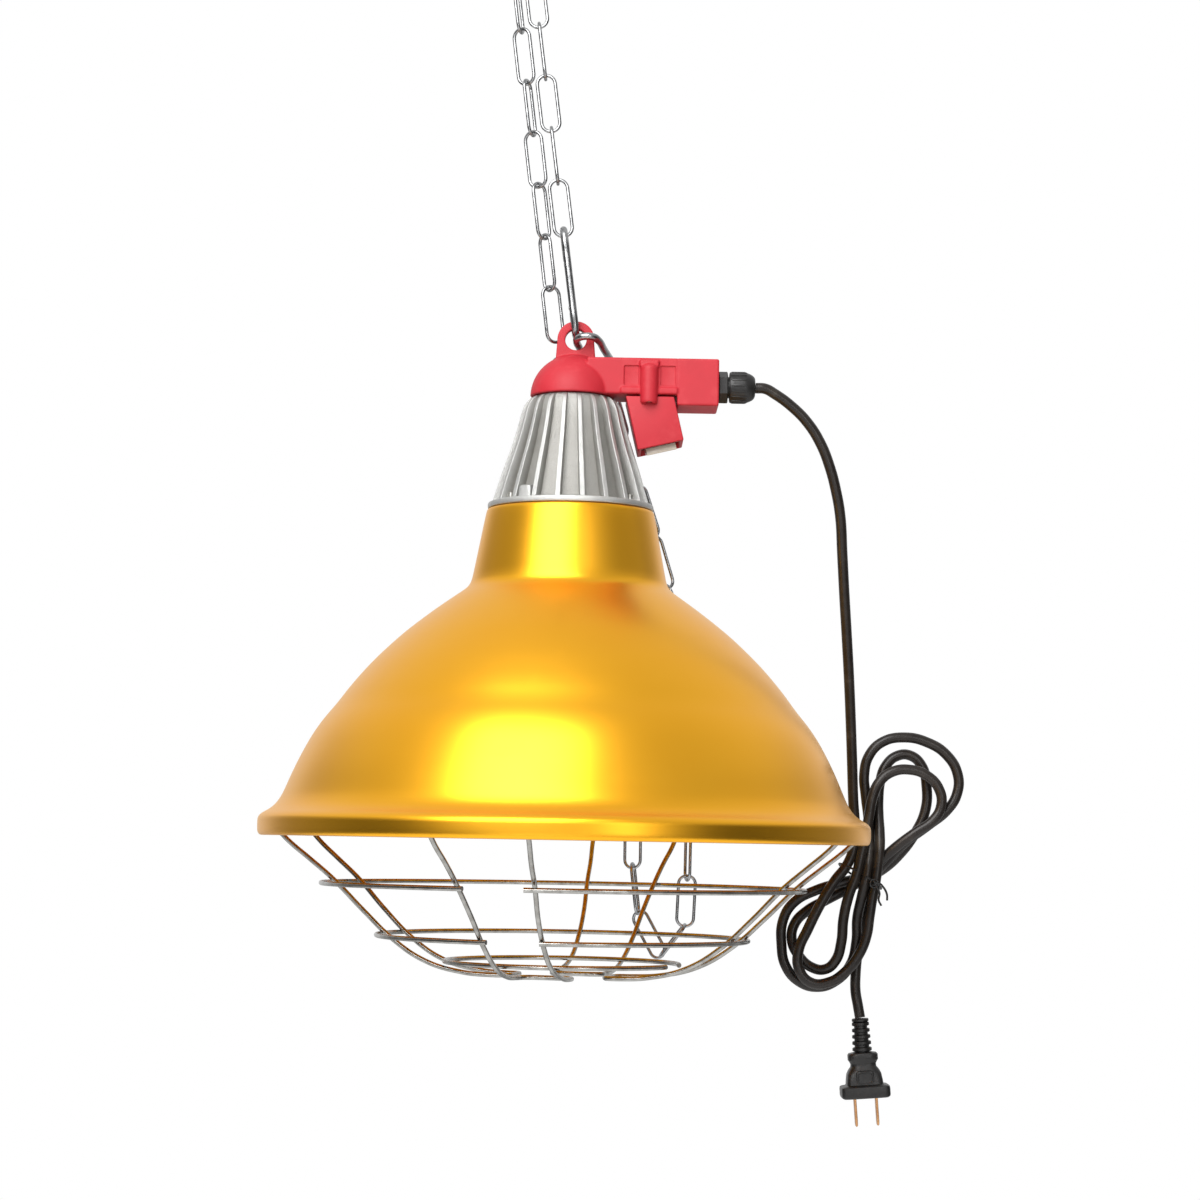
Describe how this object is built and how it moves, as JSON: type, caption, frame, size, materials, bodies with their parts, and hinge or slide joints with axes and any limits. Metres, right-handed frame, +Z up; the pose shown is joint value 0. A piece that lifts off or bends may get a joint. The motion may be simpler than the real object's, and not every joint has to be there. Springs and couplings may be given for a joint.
{
  "type": "heat lamp fixture",
  "caption": "Hanging heat lamp fixture with a spun bell shade, finned housing, switch arm, wire guard, link chain with snap hooks, and a mains cord tied in a bundle with its plug.",
  "frame": {"origin": "inner top of the hanging hook's upper bend, where it rests on what it hangs from", "axes": "+Z up along the lamp's own axis; +X from the lamp's axis towards the switch arm and gland; +Y to the back of the lamp, where the spare chain lies"},
  "size_m": [0.4131, 0.3588, 0.7465],
  "materials": {
    "gold_shade": "satin",
    "cast_housing": "matte",
    "red_plastic": "satin",
    "cream_plastic": "gloss",
    "black_plastic": "satin",
    "lead_insulation": "satin",
    "cord_sheath": "satin",
    "seal_rubber": "matte",
    "glazed_ceramic": "gloss",
    "brass": "satin",
    "guard_wire": "satin",
    "fixings": "satin",
    "zinc_chain": "gloss"
  },
  "bodies": {
    "hook": {"hanging_hook": "zinc_chain"},
    "chain": {"chain_link_top": "zinc_chain", "chain_link_right_1": "zinc_chain", "chain_link_right_2": "zinc_chain", "chain_link_right_3": "zinc_chain", "chain_link_right_4": "zinc_chain", "chain_link_right_5": "zinc_chain", "chain_link_left_1": "zinc_chain", "chain_link_left_2": "zinc_chain", "chain_link_left_3": "zinc_chain", "chain_link_left_4": "zinc_chain", "chain_link_left_5": "zinc_chain", "chain_link_left_6": "zinc_chain", "chain_link_left_7": "zinc_chain", "chain_link_left_8": "zinc_chain"},
    "snap_upper": {"snap_hook_1": "zinc_chain"},
    "snap_upper_gate": {"snap_hook_1_gate": "zinc_chain"},
    "lamp": {"shade": "gold_shade", "finned_housing": "cast_housing", "shade_screw_1": "fixings", "shade_screw_2": "fixings", "shade_screw_3": "fixings", "lampholder": "glazed_ceramic", "screw_shell": "brass", "centre_contact": "brass", "nipple": "fixings", "nipple_nut": "fixings", "cap": "red_plastic", "boss_screw": "fixings", "switch_box": "red_plastic", "switch_body": "black_plastic", "gland_body": "black_plastic", "gland_nut": "black_plastic", "gland_seal": "seal_rubber", "gland_locknut": "black_plastic", "lead_live": "black_plastic", "lead_neutral": "lead_insulation", "guard_hairpin_1": "guard_wire", "guard_hairpin_2": "guard_wire", "guard_hairpin_3": "guard_wire", "guard_hairpin_4": "guard_wire", "guard_ring_upper": "guard_wire", "guard_ring_middle": "guard_wire", "guard_ring_lower": "guard_wire", "snap_hook_2": "zinc_chain", "chain_drape_left": "zinc_chain", "chain_drape_right": "zinc_chain", "cord": "cord_sheath", "cord_bundle": "cord_sheath", "twist_tie": "black_plastic", "plug": "black_plastic", "plug_blade_1": "brass", "plug_blade_2": "brass", "cord_tail": "cord_sheath"},
    "switch_rocker": {"rocker": "cream_plastic"},
    "snap_lower_gate": {"snap_hook_2_gate": "zinc_chain"},
    "tail_loop": {"chain_loop": "zinc_chain"}
  },
  "joints": [
    {"name": "chain_swing", "type": "hinge", "parent": "hook", "child": "chain", "pos_m": [0, 0.0017, -0.03735], "axis": [0, 1, 0], "range_deg": [-18, 18]},
    {"name": "snap_rock", "type": "hinge", "parent": "chain", "child": "snap_upper", "pos_m": [0.02547, 0.0017, -0.22447], "axis": [1, 0, 0], "range_deg": [-8, 5]},
    {"name": "lamp_swing", "type": "hinge", "parent": "snap_upper", "child": "lamp", "pos_m": [0.03357, 0.0017, -0.28403], "axis": [0, 1, 0], "range_deg": [-20, 20]},
    {"name": "rocker_rock", "type": "hinge", "parent": "lamp", "child": "switch_rocker", "pos_m": [0.08243, 0.0017, -0.34418], "axis": [0.9724, 0, 0.2334], "range_deg": [-20, 0]},
    {"name": "upper_gate_open", "type": "hinge", "parent": "snap_upper", "child": "snap_upper_gate", "pos_m": [0.03155, 0.0083, -0.26916], "axis": [0.9909, 0, 0.1348], "range_deg": [0, 20], "stiffness_Nm_per_rad": 0.05, "springref_deg": -17.19},
    {"name": "lower_gate_open", "type": "hinge", "parent": "lamp", "child": "snap_lower_gate", "pos_m": [0.03551, 0.00627, -0.2901], "axis": [0, -0.2353, -0.9719], "range_deg": [0, 20], "stiffness_Nm_per_rad": 0.05, "springref_deg": -17.19},
    {"name": "loop_swing", "type": "hinge", "parent": "lamp", "child": "tail_loop", "pos_m": [0.07416, 0.17986, -0.59153], "axis": [0.929, -0.319, -0.1875], "range_deg": [-5, 30]}
  ]
}
